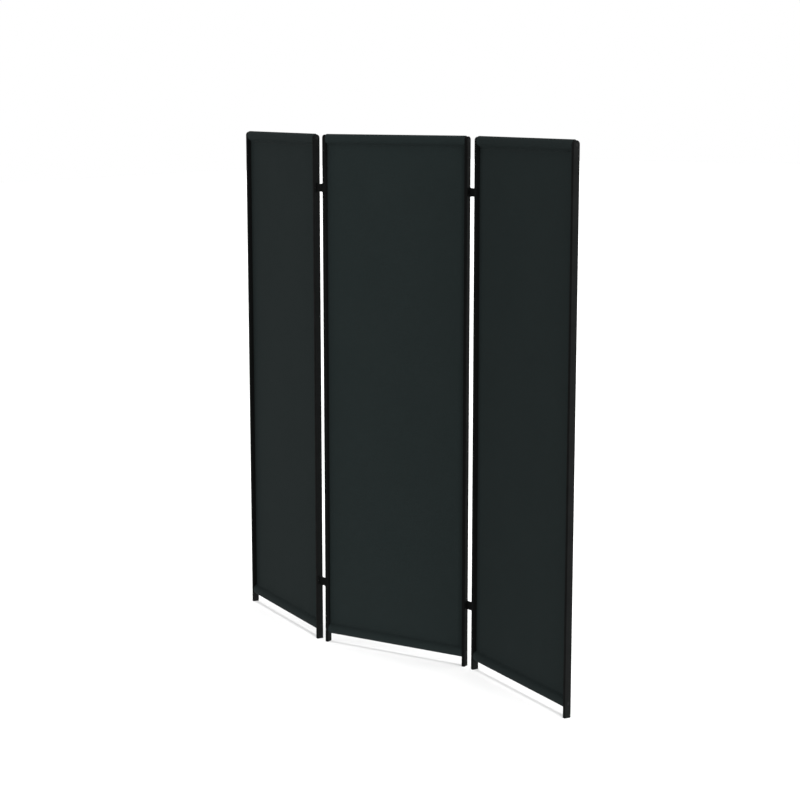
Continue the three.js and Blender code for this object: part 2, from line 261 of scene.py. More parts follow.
# polyester sewing thread: two-ply, spun and twisted, a little shinier than the cloth
# colour, roughness and height all follow the plies, a noise as fine as their turns
def makePolyesterThread():
    material, tree = newMaterial("polyester sewing thread")
    place = addNode(tree, "TexCoord", output="Object")
    turns = addNode(tree, "TexNoise", {}, {"Vector": place, "Scale": 1 / yarn["ply"], "Detail": 1.0})
    ply = addNode(tree, "MapRange", {}, [turns, *yarn["plyBand"]])
    dark, light = linearColour(yarn["dark"]), linearColour(yarn["light"])
    colour = addNode(tree, "Mix", blend, {0: ply, 6: dark, 7: light}, 2)
    spun = addNode(tree, "MapRange", {}, [ply, 0.0, 1.0, *yarn["roughness"]])
    bump = addNode(tree, "Bump", {}, {"Height": ply, "Strength": 0.4, "Distance": yarn["plyDepth"]})
    finish = {"Base Color": colour, "Roughness": spun, "Normal": bump}
    finish |= {"IOR": 1.5, "Specular IOR Level": 0.2, "Sheen Weight": 0.15}
    addNode(tree, "OutputMaterial", {}, [addNode(tree, "BsdfPrincipled", {}, finish)])
    return material


plating = {
    "bright": ("#b9bbba", "#8d908f"),
    "black": ("#2a2b2b", "#1a1b1b"),
    "cloud": 0.004,
    "cloudBand": (0.35, 0.7),
    "scratch": 0.0009,
    "scratchDepth": 0.00001,
    "roughnessSpread": (-0.07, 0.08),
}


# zinc-plated steel: electroplated, faintly cloudy; black-passivated on the parts that show
# colour and roughness follow one cloud, between the two colours and between the spread's ends
def makePlatedSteel(name, colours, roughness):
    material, tree = newMaterial(name)
    place = addNode(tree, "TexCoord", output="Object")
    clouds = addNode(tree, "TexNoise", {}, {"Vector": place, "Scale": 1 / plating["cloud"], "Detail": 3.0})
    cloud = addNode(tree, "MapRange", {}, [clouds, *plating["cloudBand"]])
    light, dark = (linearColour(colour) for colour in colours)
    colour = addNode(tree, "Mix", blend, {0: cloud, 6: light, 7: dark}, 2)
    smoothest, roughest = (roughness + spread for spread in plating["roughnessSpread"])
    dull = addNode(tree, "MapRange", {}, [cloud, 0.0, 1.0, smoothest, roughest])
    scratches = addNode(tree, "TexNoise", {}, {"Vector": place, "Scale": 1 / plating["scratch"]})
    bumpInputs = {"Height": scratches, "Strength": 0.2, "Distance": plating["scratchDepth"]}
    bump = addNode(tree, "Bump", {}, bumpInputs)
    finish = {"Base Color": colour, "Roughness": dull, "Normal": bump, "Metallic": 1.0}
    addNode(tree, "OutputMaterial", {}, [addNode(tree, "BsdfPrincipled", {}, finish)])
    return material


steelCoat = makePowderCoatedSteel()
polyester = makeWovenPolyester()
polypropylene = makeMouldedPolypropylene()
thread = makePolyesterThread()
zinc = makePlatedSteel("zinc-plated steel", plating["bright"], 0.38)
blackZinc = makePlatedSteel("black zinc-plated steel", plating["black"], 0.45)
print("materials made")


# quads of a grid of rows x columns points, counted row by row; a wrapped way closes on itself
def gridQuads(rows, columns, wrapRows=False, wrapColumns=False):
    r, c = np.meshgrid(
        np.arange(rows if wrapRows else rows - 1),
        np.arange(columns if wrapColumns else columns - 1),
        indexing="ij",
    )
    nextR = (r + 1) % rows
    nextC = (c + 1) % columns
    corners = [r * columns + c, r * columns + nextC, nextR * columns + nextC, nextR * columns + c]
    return np.stack(corners, -1).reshape(-1, 4).tolist()


# a closed body through rings of equal length: quads between the rings and a flat face at each end
def ringStack(rings):
    rings = np.asarray(rings, float)
    count, around = rings.shape[:2]
    faces = gridQuads(count, around, wrapColumns=True)
    faces.append(list(range(around)))
    faces.append(list(range((count - 1) * around, count * around)))
    return rings.reshape(-1, 3), faces


# one set of points and faces from several
def joinShells(shells):
    points = np.concatenate([np.asarray(p, float) for p, _ in shells])
    starts = np.cumsum([0] + [len(p) for p, _ in shells])
    faces = [[i + start for i in face] for (_, part), start in zip(shells, starts) for face in part]
    return points, faces


# a rectangle's outline with round corners: four quarter circles, each of steps + 1 points
def roundedOutline(halfX, halfY, radius, steps=6):
    angle = np.concatenate([np.linspace(0, math.pi / 2, steps + 1) + k * math.pi / 2 for k in range(4)])
    signX = np.repeat([1, -1, -1, 1], steps + 1)
    signY = np.repeat([1, 1, -1, -1], steps + 1)
    x = signX * (halfX - radius) + radius * np.cos(angle)
    y = signY * (halfY - radius) + radius * np.sin(angle)
    return np.stack([x, y], -1)


# a circle's outline: radius * (cos a, sin a) at equal steps of a
def circleOutline(radius, around=32):
    angle = np.arange(around) * 2 * math.pi / around
    return radius * np.stack([np.cos(angle), np.sin(angle)], -1)


# outline points lifted to a height
def atHeight(outline, z):
    return np.column_stack([outline, np.full(len(outline), z)])


# a mesh from points and faces; closed shells have their faces turned outward
def newMesh(shell, outward=True):
    mesh = bpy.data.meshes.new("shape")
    points, faces = shell
    mesh.from_pydata(np.asarray(points, float).tolist(), [], faces)
    if outward:
        facing = bmesh.new()
        facing.from_mesh(mesh)
        bmesh.ops.recalc_face_normals(facing, faces=facing.faces)
        facing.to_mesh(mesh)
        facing.free()
    mesh.update()
    return mesh


# base joined with or cut by other shells, one after the other, by exact booleans
def cutAndJoin(base, steps):
    holder = bpy.data.objects.new("cutting", newMesh(base))
    scene.collection.objects.link(holder)
    tools = []
    for operation, shell in steps:
        tool = bpy.data.objects.new("cutter", newMesh(shell))
        scene.collection.objects.link(tool)
        modifier = holder.modifiers.new("cut", "BOOLEAN")
        modifier.operation = operation
        modifier.solver = "EXACT"
        modifier.object = tool
        tools.append(tool)
    graph = bpy.context.evaluated_depsgraph_get()
    mesh = bpy.data.meshes.new_from_object(holder.evaluated_get(graph))
    for made in [holder, *tools]:
        bpy.data.objects.remove(made)
    return mesh


# puts a finished mesh in the scene at its place, on its body
def addPiece(name, mesh, place, material, body, replaced=(), bevel=0.0, smoothAngle=38):
    mesh = mesh.copy()
    mesh.name = name
    mesh.transform(place)
    mesh.materials.clear()
    mesh.materials.append(material)
    mesh.shade_smooth()
    mesh.set_sharp_from_angle(angle=math.radians(smoothAngle))
    piece = bpy.data.objects.new(name, mesh)
    scene.collection.objects.link(piece)
    if bevel:
        edges = piece.modifiers.new("edges", "BEVEL")
        edges.width = bevel
        edges.segments = 2
        edges.limit_method = "ANGLE"
        edges.angle_limit = math.radians(40)
        edges.harden_normals = True
    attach(piece, body)
    if replaced:
        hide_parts(*replaced)
    return piece


# posts, caps and glides
post = {
    "halfWidth": (postHigh.x - postLow.x) / 2,
    "halfDepth": (postHigh.y - postLow.y) / 2,
    "corner": 0.0020,
    "leastCorner": 0.0004,  # of the inside, however far the outline is moved in
    "wall": 0.0015,
    "endBreak": 0.0002,  # the saw's burr, filed off
    "weldLine": 0.00016,  # groove left where the cap meets the tube
}
glide = {
    "edge": 0.0009,  # radius of the edge it stands on
    "sole": (0.0042, 0.0020),  # insets of the flat sole and of its shallow rise
    "rise": 0.00005,
    "shoulder": 0.0003,
    "stemGap": 0.0003,  # between the stem and the inside of the tube
    "stemTaper": (0.0006, 0.0008),  # inward and down, at the stem's end
}
postX = (postLow.x + postHigh.x) / 2
roundMiddle = capTop - post["halfDepth"]


# the tube's outline moved inward; its corners' radius shrinks by the same amount
def postOutline(inset):
    radius = max(post["corner"] - inset, post["leastCorner"])
    return roundedOutline(post["halfWidth"] - inset, post["halfDepth"] - inset, radius)


# a tube: its outline is carried up the outside and down the inside, closed both ways
def postShell():
    low, high, edge = postLow.z, roundMiddle, post["endBreak"]
    levels = [(edge, low), (0, low + edge), (0, high - edge), (edge, high)]
    levels += [(post["wall"], high), (post["wall"], low)]
    rings = np.array([atHeight(postOutline(inset), z) for inset, z in levels])
    return rings.reshape(-1, 3), gridQuads(*rings.shape[:2], wrapRows=True, wrapColumns=True)


# the round end: the tube's outline turned half way about the level axis x, so that a point (x, y) goes to
# (x, y cos a, y sin a); each ring is the half disc at one x, closed below by a straight line
def capShell():
    outline = postOutline(0)
    half = outline[outline[:, 1] > 0]
    half = half[np.argsort(-half[:, 0], kind="stable")]
    angle = np.linspace(0, math.pi, 37)
    x = np.repeat(half[:, :1], len(angle), 1)
    y = half[:, 1:] * np.cos(angle)
    z = half[:, 1:] * np.sin(angle) + post["weldLine"]
    return ringStack(np.stack([x, y, z], -1))


# a glide that stands on z = 0: quarter-round edges, inset = edge * (1 - sin), height = edge * (1 - cos)
def glideShell(headHeight, stemHeight):
    stem = post["wall"] + glide["stemGap"]
    edge, rise, shoulder = glide["edge"], glide["rise"], glide["shoulder"]
    taperIn, taperDown = glide["stemTaper"]
    top = headHeight + stemHeight
    levels = [(glide["sole"][0], 0.0), (glide["sole"][1], rise)]
    for turn in np.linspace(0.1, math.pi / 2, 7):
        levels.append((edge * (1 - math.sin(turn)), rise + edge * (1 - math.cos(turn))))
    levels += [(0.0, headHeight - shoulder), (shoulder, headHeight), (stem, headHeight)]
    levels += [(stem, top - taperDown), (stem + taperIn, top)]
    return ringStack([atHeight(postOutline(inset), z) for inset, z in levels])


headHeight = postLow.z - glide["stemGap"]
postMesh = newMesh(postShell())
capMesh = newMesh(capShell())
glideMesh = newMesh(glideShell(headHeight, glideTop - headHeight))

cover = {
    "radius": 0.0062,
    "height": 0.0009,
    "rim": 0.0002,  # upright part of the edge, under the dome
    "lift": 0.00005,  # off the post, so that the two faces don't coincide
    "stemRadius": 0.0051,
    "stem": 0.004,
    "taper": 0.0004,
}


# push-in cover over a post's tool hole: a low dome on a stem, pointing up from z = 0
# dome at a: radius = r cos a, height = rim + (h - rim) sin a
def coverShell():
    radius, stem, rim, lift = cover["radius"], cover["stemRadius"], cover["rim"], cover["lift"]
    levels = [(stem - cover["taper"], -cover["stem"]), (stem, cover["taper"] - cover["stem"])]
    levels += [(stem, lift), (radius - rim / 2, lift), (radius, rim)]
    for turn in np.linspace(0.25, math.pi / 2 - 0.12, 6):
        levels.append((radius * math.cos(turn), rim + (cover["height"] - rim) * math.sin(turn)))
    return ringStack([atHeight(circleOutline(size), z) for size, z in levels])


coverMesh = newMesh(coverShell())


# turns +z into the level direction x * side
def sideways(side):
    return Matrix.Rotation(side * math.pi / 2, 4, "Y")


for panelName in panelNames:
    place = panelFrames[panelName]
    body = bodyOf[panelName]
    for sideName, side in sides.items():
        key = f"{panelName}_{sideName}"
        atPost = place @ Matrix.Translation((side * postX, 0, 0))
        addPiece(f"{key}_post_tube", postMesh, atPost, steelCoat, body, [f"{key}_post"])
        capPlace = atPost @ Matrix.Translation((0, 0, roundMiddle))
        addPiece(f"{key}_cap", capMesh, capPlace, steelCoat, body, [f"{key}_post_cap"])
        glideNode = f"{key}_foot_glide"
        addPiece(f"{key}_glide", glideMesh, atPost, polypropylene, body, [glideNode])
        for levelName, (low, high) in {
            "top": (railLow, railHigh),
            "bottom": (lowRailLow, lowRailHigh),
        }.items():
            middle = Vector((side * panelHalf, 0, (low.z + high.z) / 2))
            coverPlace = place @ Matrix.Translation(middle) @ sideways(side)
            addPiece(
                f"{key}_{levelName}_hole_cover", coverMesh, coverPlace, polypropylene, body
            )
print("posts, caps, glides and covers made")


# hinges
hinge = {
    "plate": 0.0016,
    "plateGap": 0.0003,  # between leaf and post
    "plateCorner": 0.0022,
    "knuckle": 0.0070,  # height of a leaf's part of a pivot
    "barrel": 0.0134,  # height of the link's part, between two knuckles
    "bore": 0.0022,  # radius
    "blockSetback": 0.0043,  # from a pivot to the link's full-height block
    "edge": 0.00028,  # width of the broken edges
    "linkCorner": 0.0012,
    "pinPlay": 0.0002,
    "cutterReach": 0.03,  # drills right through
    "screwRadius": 0.0031,
    "screwHole": 0.0019,
    "holeReach": 0.001,  # its cutter starts this far behind the post's face
    "holeStraight": 0.0004,  # from the leaf's back to the countersink
    "countersink": 0.0001,  # room round a screw's head
    "screwSpread": 0.0076,  # from the middle of the leaf to a screw
    "screwSink": 0.00005,  # of a screw's head below the leaf's face
}
leafLow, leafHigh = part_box("right_upper_hinge_inner_leaf")
pinLow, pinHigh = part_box("right_upper_hinge_inner_pin")
innerPivot = pivotPlace["right_inner_hinge"]
pivotOffset = innerPivot.x - panelHalf
pivotSpacing = (pivotPlace["right_outer_hinge"] - innerPivot).length
barrelRadius = leafHigh.x - innerPivot.x
hingeHalf = (leafHigh.z - leafLow.z) / 2
leafHalfDepth = (leafHigh.y - leafLow.y) / 2


# outline points taken as y and z, at one x
def atX(outline, x):
    return np.column_stack([np.full(len(outline), x), outline])


# the upright cylinder that a pin's bore is cut with, about (x, 0)
def pinBore(x):
    outline = circleOutline(hinge["bore"], 40) + [x, 0]
    return ringStack([atHeight(outline, z) for z in (-hinge["cutterReach"], hinge["cutterReach"])])


# a knuckle: a half circle round the pivot with straight sides back to x = start
def knuckleShell(low, high, start):
    turn = np.linspace(-math.pi / 2, math.pi / 2, 25)
    arc = np.stack([pivotOffset + barrelRadius * np.cos(turn), barrelRadius * np.sin(turn)], -1)
    outline = np.concatenate([[[start, -barrelRadius]], arc, [[start, barrelRadius]]])
    return ringStack([atHeight(outline, low), atHeight(outline, high)])


# a leaf on the post face at x = 0: plate + two knuckles - pin bore - two countersunk screw holes
def leafMesh():
    near, far = hinge["plateGap"], hinge["plateGap"] + hinge["plate"]
    outline = roundedOutline(leafHalfDepth, hingeHalf, hinge["plateCorner"])
    steps = []
    for low, high in ((hingeHalf - hinge["knuckle"], hingeHalf), (-hingeHalf, hinge["knuckle"] - hingeHalf)):
        steps.append(("UNION", knuckleShell(low, high, (near + far) / 2)))
    steps.append(("DIFFERENCE", pinBore(pivotOffset)))
    hole, play = hinge["screwHole"], hinge["countersink"]
    profile = [(hole, -hinge["holeReach"]), (hole, near + hinge["holeStraight"])]
    profile += [(hinge["screwRadius"] + play, far + play)]
    for y in (-hinge["screwSpread"], hinge["screwSpread"]):
        rings = [atX(circleOutline(radius) + [y, 0], x) for radius, x in profile]
        steps.append(("DIFFERENCE", ringStack(rings)))
    return cutAndJoin(ringStack([atX(outline, near), atX(outline, far)]), steps)


# a link centred between its pivots: block over the full height + a barrel round each pin - the pins' bores
def linkMesh():
    half = pivotSpacing / 2
    blockHalf = half - hinge["blockSetback"]
    outline = roundedOutline(blockHalf, barrelRadius, hinge["linkCorner"])
    turn = np.linspace(-math.pi / 2, math.pi / 2, 25)
    rightEnd = np.stack([half + barrelRadius * np.cos(turn), barrelRadius * np.sin(turn)], -1)
    barrels = np.concatenate([rightEnd, -rightEnd])
    reach = hinge["barrel"] / 2
    steps = [("UNION", ringStack([atHeight(barrels, -reach), atHeight(barrels, reach)]))]
    for x in (-half, half):
        steps.append(("DIFFERENCE", pinBore(x)))
    return cutAndJoin(ringStack([atHeight(outline, -hingeHalf), atHeight(outline, hingeHalf)]), steps)


# a pin with a domed head at each end, its outline turned about z
# dome at a: radius = r (cos a) ^ 0.7, height = rim + (top - rim) sin a
def pinShell():
    play = hinge["pinPlay"]
    shank = hinge["bore"] - play
    head = (pinHigh.x - pinLow.x) / 2
    top = (pinHigh.z - pinLow.z) / 2
    under = hingeHalf + play
    rim = under + play
    half = [(shank, under), (head - play / 2, under), (head, rim)]
    for turn in np.linspace(0.35, math.pi / 2 - 0.15, 5):
        half.append((head * math.cos(turn) ** 0.7, rim + (top - rim) * math.sin(turn)))
    levels = [(radius, -z) for radius, z in reversed(half)] + half
    return ringStack([atHeight(circleOutline(radius), z) for radius, z in levels])


# a hexagon's outline on the same directions as a circle: radius = apothem / cos(angle to the nearest flat)
def hexagonOutline(apothem, around=48):
    angle = np.arange(around) * 2 * math.pi / around
    nearest = (angle + math.pi / 6) % (math.pi / 3) - math.pi / 6
    radius = apothem / np.cos(nearest)
    return np.stack([radius * np.cos(angle), radius * np.sin(angle)], -1)


screwHead = hinge["screwRadius"]
screw = {
    # radius and height up the outside: tip, shank, cone and rim; the flat head lies at z = 0
    "outside": (
        (0.0012, -0.008),
        (0.0016, -0.0074),
        (0.0016, -0.0016),
        (screwHead, -0.0002),
        (screwHead - 0.0001, 0),
    ),
    # half width across flats and height, down the hexagon socket
    "socket": ((0.00108, 0), (0.001, -0.0001), (0.001, -0.0012), (0.0004, -0.0014)),
}


# a countersunk screw with a hexagon socket, its two outlines turned about z
def screwShell():
    rings = [atHeight(circleOutline(radius, 48), z) for radius, z in screw["outside"]]
    rings += [atHeight(hexagonOutline(apothem), z) for apothem, z in screw["socket"]]
    return ringStack(rings)


leafBase = leafMesh()
linkBase = linkMesh()
pinMesh = newMesh(pinShell())
screwMesh = newMesh(screwShell())
plateFace = hinge["plateGap"] + hinge["plate"]


# the leaf, its pin and its screws, on the post face that faces outward
def addLeaf(key, end, outward, pivot, middle, body):
    place = levelFrame(outward, pivot - outward * pivotOffset + Vector((0, 0, middle)))
    addPiece(
        f"{key}_{end}_plate", leafBase, place, steelCoat, body,
        [f"{key}_{end}_leaf"], bevel=hinge["edge"],
    )
    atPivot = place @ Matrix.Translation((pivotOffset, 0, 0))
    pinNode = f"{key}_{end}_pin"
    addPiece(f"{key}_{end}_hinge_pin", pinMesh, atPivot, blackZinc, body, [pinNode])
    for index, y in enumerate((-hinge["screwSpread"], hinge["screwSpread"])):
        screwPlace = place @ Matrix.Translation((plateFace - hinge["screwSink"], y, 0)) @ sideways(1)
        addPiece(f"{key}_{end}_screw_{index + 1}", screwMesh, screwPlace, blackZinc, body)


for sideName, side in sides.items():
    inner = pivotPlace[f"{sideName}_inner_hinge"]
    outer = pivotPlace[f"{sideName}_outer_hinge"]
    panelAxis = panelFrames[sideName].to_3x3() @ Vector((1, 0, 0))
    for levelName in ("upper", "lower"):
        key = f"{sideName}_{levelName}_hinge"
        low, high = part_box(f"{key}_link")
        middle = (low.z + high.z) / 2
        addLeaf(key, "inner", Vector((side, 0, 0)), inner, middle, "middle_panel")
        addLeaf(key, "outer", -side * panelAxis, outer, middle, bodyOf[sideName])
        linkPlace = levelFrame(outer - inner, (inner + outer) / 2 + Vector((0, 0, middle)))
        addPiece(
            f"{key}_bar", linkBase, linkPlace, steelCoat, f"{sideName}_links",
            [f"{key}_link"], bevel=hinge["edge"],
        )
print("hinges made")


# cloth
cloth = {
    "thickness": 0.0007,
    "setback": 0.0030,  # behind the middle of the posts
    "seamDrop": 0.020,  # from a rail's middle to its pocket's seam
    "pocketTail": 0.010,  # the pocket's raw edge, turned under behind the seam
    "tailGap": 0.0010,  # between that edge and the cloth in front of it
    "hem": 0.012,  # turned in at each side
    "hemGap": 0.0009,
    "waist": 0.0003,  # each side edge pulls in this much halfway down
    "rippleDepth": 0.0003,
    "rippleStart": 0.03,  # length over which they grow below a seam
    "rippleFade": 0.13,
    "bow": 0.8,  # of the whole sheet, against the ripples
    "bowStart": 0.05,
    "bowPhase": 0.6,  # share of phase
    "ripples": ((1.0, 0.021, 1.0), (0.7, 0.013, 2.1), (0.5, 0.047, -1.0)),  # share, width, share of phase
    "endZone": 0.06,  # from a rail's middle, drawn with fine rows
    "fine": 0.002,
    "coarse": 0.016,
    "pathStep": 0.0005,
    "softening": 13,  # points of the path that are averaged, so that the cloth bends softly
}
pocketHalfDepth = (clothHigh.y - clothLow.y - cloth["thickness"]) / 2
pocketHalfHeight = clothHigh.z - (railLow.z + railHigh.z) / 2 - cloth["thickness"] / 2
topRail = (railLow.z + railHigh.z) / 2
bottomRail = (lowRailLow.z + lowRailHigh.z) / 2
clothHalf = (clothHigh.x - clothLow.x) / 2


# where a line from the seam point (y, -seamDrop) touches the pocket's ellipse:
# (y / a) cos t + (z / b) sin t = 1
def touchAngle(y, way):
    a = y / pocketHalfDepth
    b = -cloth["seamDrop"] / pocketHalfHeight
    return math.atan2(b, a) + way * math.acos(1 / math.hypot(a, b))


# the sleeve's side outline as y and z: up behind the top rail, over it, down its front, down the sheet,
# and round the bottom rail to the back again
def sleevePath():
    front = cloth["setback"]
    back = front + cloth["tailGap"] + cloth["thickness"]
    turn = np.linspace(touchAngle(back, 1), touchAngle(front, -1) + 2 * math.pi, 160)
    arc = np.stack([pocketHalfDepth * np.cos(turn), pocketHalfHeight * np.sin(turn)], -1)
    drop = cloth["seamDrop"]
    tail = [[back, -drop - cloth["pocketTail"]], [back, -drop]]
    pocket = np.concatenate([tail, arc, [[front, -drop]]])
    upper = pocket + [0, topRail]
    lower = (pocket * [1, -1] + [0, bottomRail])[::-1]
    return np.concatenate([upper, lower])


# equal steps of run along a polyline, and the points there
def spaced(points, step):
    run = np.concatenate([[0], np.cumsum(np.linalg.norm(np.diff(points, axis=0), axis=1))])
    at = np.linspace(0, run[-1], int(round(run[-1] / step)) + 1)
    return at, np.stack([np.interp(at, run, column) for column in points.T], -1)


# corners rounded by a moving mean with Hann weights, with each end point repeated past its end
def rounded(points, window):
    pad = window // 2
    padded = np.concatenate([np.repeat(points[:1], pad, 0), points, np.repeat(points[-1:], pad, 0)])
    kernel = np.hanning(window + 2)[1:-1]
    kernel /= kernel.sum()
    return np.stack([np.convolve(column, kernel, "valid") for column in padded.T], -1)


# rows along the path: fine steps round the pockets and coarse ones down the sheet
def sleeveRows():
    at, dense = spaced(sleevePath(), cloth["pathStep"])
    smooth = rounded(dense, cloth["softening"])
    zone = cloth["endZone"]
    inSheet = (smooth[:, 1] < topRail - zone) & (smooth[:, 1] > bottomRail + zone)
    start, end = at[inSheet][0], at[inSheet][-1]
    total = at[-1]
    stops = np.concatenate([
        np.linspace(0, start, int(start / cloth["fine"]), endpoint=False),
        np.linspace(start, end, int((end - start) / cloth["coarse"]), endpoint=False),
        np.linspace(end, total, int((total - end) / cloth["fine"])),
    ])
    place = np.stack([np.interp(stops, at, column) for column in smooth.T], -1)
    slope = np.gradient(smooth, at, axis=0)
    along = np.stack([np.interp(stops, at, column) for column in slope.T], -1)
    along /= np.linalg.norm(along, axis=1, keepdims=True)
    inward = np.stack([-along[:, 1], along[:, 0]], -1)
    return stops, place, inward


# columns across the cloth: x, depth behind the face and run of cloth, with a hem folded back at each edge
def sleeveColumns():
    fold = cloth["hemGap"] / 2
    turn = np.linspace(0, math.pi, 7)
    flatRun = clothHalf - fold
    hemStart = flatRun - cloth["hem"]
    hemX = np.linspace(hemStart, flatRun, 4, endpoint=False)
    arcX = flatRun + fold * np.sin(turn)
    arcDepth = fold * (1 + np.cos(turn))
    innerX = np.linspace(flatRun, flatRun - cloth["hem"], 4)[1:]
    middleX = np.linspace(hemStart, -hemStart, 45)[1:-1]
    rightX = np.concatenate([hemX, arcX, innerX])
    rightDepth = np.concatenate([np.full(4, 2 * fold), arcDepth, np.zeros(3)])
    x = np.concatenate([rightX, middleX, -rightX[::-1]])
    depth = np.concatenate([rightDepth, np.zeros(len(middleX)), rightDepth[::-1]])
    run = np.concatenate([[0], np.cumsum(np.hypot(np.diff(x), np.diff(depth)))])
    return x, depth, run


# tension ripples: three cosines across the cloth that die away from the pockets, and a slow bow
def rippleDepth(x, z, phase):
    fromSeam = np.minimum(topRail - cloth["seamDrop"] - z, z - bottomRail - cloth["seamDrop"])
    grown = np.clip(fromSeam / cloth["rippleStart"], 0, 1)
    fade = np.exp(-np.maximum(fromSeam, 0) / cloth["rippleFade"]) * grown
    waves = sum(part * np.cos(x / width + turn * phase) for part, width, turn in cloth["ripples"])
    share = np.clip((z - bottomRail) / (topRail - bottomRail), 0, 1)
    bow = cloth["bow"] * np.sin(math.pi * share) * np.cos(x / clothHalf + cloth["bowPhase"] * phase)
    sheet = np.clip(fromSeam / cloth["bowStart"], 0, 1)
    return cloth["rippleDepth"] * (waves * fade + bow * sheet)


# a point on the sleeve: path place + inward direction * (fold depth + ripple), and x pulled in at the waist
def onSleeve(place, inward, x, depth, phase):
    share = np.clip((place[..., 1] - bottomRail) / (topRail - bottomRail), 0, 1)
    pulled = x * (1 - cloth["waist"] / clothHalf * 4 * share * (1 - share))
    push = depth + rippleDepth(x, place[..., 1], phase)
    y = place[..., 0] + inward[..., 0] * push
    z = place[..., 1] + inward[..., 1] * push
    return np.stack([pulled, y, z], -1)


rowRun, rowPlace, rowInward = sleeveRows()
columnX, columnDepth, columnRun = sleeveColumns()


# rows x columns points of the sleeve; uv is the run of cloth across and along, in metres
def sleeveMesh(phase):
    points = onSleeve(rowPlace[:, None], rowInward[:, None], columnX[None], columnDepth[None], phase)
    rows, columns = len(rowRun), len(columnRun)
    mesh = newMesh((points.reshape(-1, 3), gridQuads(rows, columns)), outward=False)
    layer = mesh.uv_layers.new(name="clothMetres")
    corner = np.zeros(len(mesh.loops), np.int32)
    mesh.loops.foreach_get("vertex_index", corner)
    flat = np.stack([columnRun[corner % columns], rowRun[corner // columns]], -1)
    layer.data.foreach_set("uv", flat.astype(np.float32).ravel())
    return mesh


stitch = {
    "pitch": 0.0040,
    "length": 0.0031,
    "radius": 0.00022,
    "sides": 5,
    "rings": (-0.92, -0.5, 0.5, 0.92),  # places along a stitch, from one end at -1 to the other at 1
    "lift": 0.35,  # of its middle above the cloth, in radii
    "sink": 1.1,  # of its ends below its middle, in radii
    "slopeReach": 0.0005,  # each way along the line, to find its direction
    "seamRows": (0.0025, 0.0075),  # two rows beside each pocket's seam
    "seamMargin": 0.004,  # from the end of a row to the cloth's edge
    "hemInset": 0.009,  # from the cloth's side edge to its row of stitches
}


# stitches along a line: each one a small spindle, lying on the cloth with its ends sunk
# a ring at t has radius r * sqrt(1 - t^2), and its middle is r * (lift - sink * t^2) above the cloth
def stitchShell(line, outward):
    run = np.concatenate([[0], np.cumsum(np.linalg.norm(np.diff(line, axis=0), axis=1))])
    count = int(run[-1] / stitch["pitch"])
    at = (np.arange(count) + 0.5) * run[-1] / count
    middle = np.stack([np.interp(at, run, column) for column in line.T], -1)
    reach = stitch["slopeReach"]
    ahead = np.stack([np.interp(at + reach, run, column) for column in line.T], -1)
    behind = np.stack([np.interp(at - reach, run, column) for column in line.T], -1)
    along = ahead - behind
    along /= np.linalg.norm(along, axis=1, keepdims=True)
    up = np.stack([np.interp(at, run, column) for column in outward.T], -1)
    up /= np.linalg.norm(up, axis=1, keepdims=True)
    across = np.cross(along, up)
    t = np.array(stitch["rings"])
    angle = np.arange(stitch["sides"]) * 2 * math.pi / stitch["sides"]
    radius = stitch["radius"] * np.sqrt(1 - t**2)
    lift = stitch["radius"] * (stitch["lift"] - stitch["sink"] * t**2)
    shape = (
        middle[:, None, None]
        + along[:, None, None] * (t * stitch["length"] / 2)[:, None, None]
        + up[:, None, None] * (lift[:, None] + radius[:, None] * np.sin(angle))[..., None]
        + across[:, None, None] * (radius[:, None] * np.cos(angle))[..., None]
    )
    _, one = ringStack(shape[0])
    per = len(t) * stitch["sides"]
    quads = np.array([f for f in one if len(f) == 4])
    ends = np.array([f for f in one if len(f) != 4])
    starts = np.arange(count)[:, None, None] * per
    faces = (quads[None] + starts).reshape(-1, 4).tolist()
    faces += (ends[None] + starts).reshape(-1, stitch["sides"]).tolist()
    return shape.reshape(-1, 3), faces


# two rows beside each pocket's seam and one down each hem, on the cloth's face and on its back
def stitchingMesh(phase):
    shells = []
    face = cloth["thickness"] / 2
    reach = clothHalf - stitch["seamMargin"]
    x = np.linspace(-reach, reach, 180)
    front = cloth["setback"]
    tailBack = cloth["tailGap"] + 1.5 * cloth["thickness"]
    for seam, way in ((topRail - cloth["seamDrop"], -1), (bottomRail + cloth["seamDrop"], 1)):
        for step in stitch["seamRows"]:
            z = np.full(len(x), seam + way * step)
            for depth, out in ((-face, -1.0), (tailBack, 1.0)):
                place = np.stack([np.full(len(x), front), z], -1)
                inward = np.tile([1.0, 0.0], (len(x), 1))
                line = onSleeve(place, inward, x, np.full(len(x), depth), phase)
                shells.append(stitchShell(line, np.tile([0.0, out, 0.0], (len(x), 1))))
    at, dense = spaced(rowPlace, cloth["fine"])
    inward = np.stack([np.interp(at, rowRun, column) for column in rowInward.T], -1)
    for side in (-1, 1):
        hemX = np.full(len(at), side * (clothHalf - stitch["hemInset"]))
        for depth, out in ((-face, -1.0), (cloth["hemGap"] + face, 1.0)):
            line = onSleeve(dense, inward, hemX, np.full(len(at), depth), phase)
            outward = np.column_stack([np.zeros(len(at)), out * inward])
            shells.append(stitchShell(line, outward))
    return newMesh(joinShells(shells))


for index, panelName in enumerate(panelNames):
    place = panelFrames[panelName]
    body = bodyOf[panelName]
    phase = 1.3 * index + 0.4  # so that no two panels ripple alike
    sleeve = addPiece(
        f"{panelName}_sleeve", sleeveMesh(phase), place, polyester, body,
        [f"{panelName}_cloth"], smoothAngle=75,
    )
    solidify = sleeve.modifiers.new("thickness", "SOLIDIFY")
    solidify.thickness = cloth["thickness"]
    solidify.offset = 0
    sewn = stitchingMesh(phase)
    seams = addPiece(f"{panelName}_stitching", sewn, place, thread, body, smoothAngle=60)


